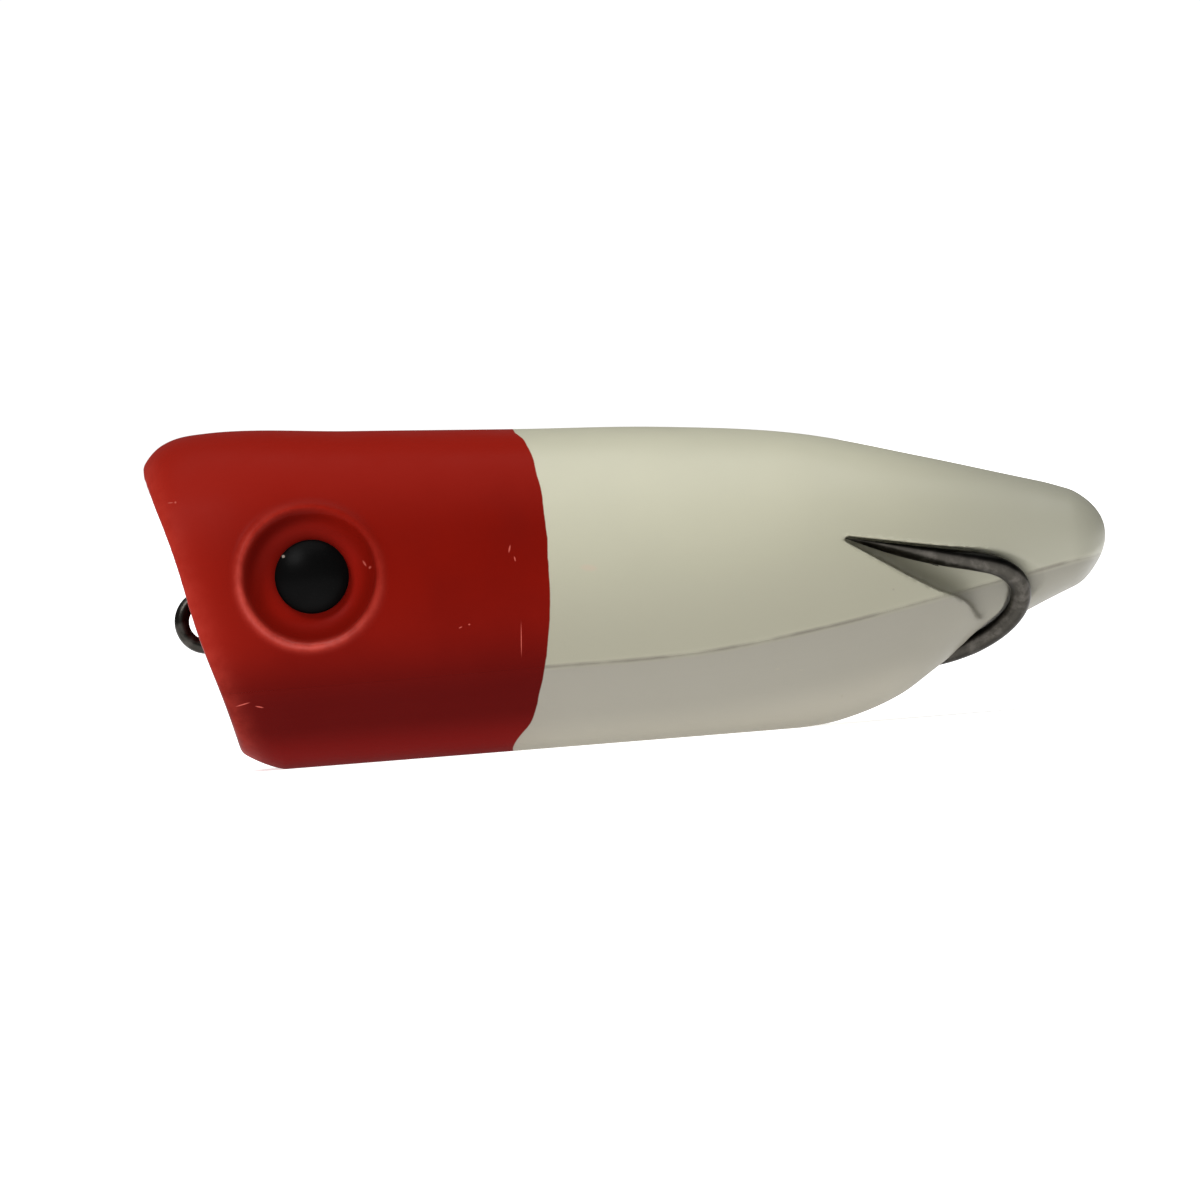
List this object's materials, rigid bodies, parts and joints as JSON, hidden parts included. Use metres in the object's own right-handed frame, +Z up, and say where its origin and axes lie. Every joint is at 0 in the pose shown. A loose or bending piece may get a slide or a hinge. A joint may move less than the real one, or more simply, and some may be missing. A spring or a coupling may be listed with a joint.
{
  "type": "topwater popper lure",
  "caption": "Hollow soft-bodied popper with a concave cup face, recessed eyes and a weedless double hook that slides through the body.",
  "frame": {"origin": "on the flat of the belly, under the middle of the length", "axes": "+X from the nose to the tail, +Y to the lure's right, +Z up"},
  "size_m": [0.0643, 0.0214, 0.023],
  "materials": {
    "upper_skin": "satin soft vinyl, off-white with a red painted head",
    "belly_skin": "satin soft vinyl, off-white with a red painted head",
    "pupil": "gloss black dome",
    "hook_wire": "black nickel",
    "lead": "dull cast lead"
  },
  "bodies": {
    "hull": {"upper_shell": "upper_skin", "belly_shell": "belly_skin", "left_pupil": "pupil", "right_pupil": "pupil"},
    "hook": {"double_hook": "hook_wire", "keel_weight": "lead"}
  },
  "joints": [
    {"name": "hook_slide", "type": "slide", "parent": "hull", "child": "hook", "axis": [0.9909, 0, -0.1343], "range_m": [0, 0.0015]}
  ]
}
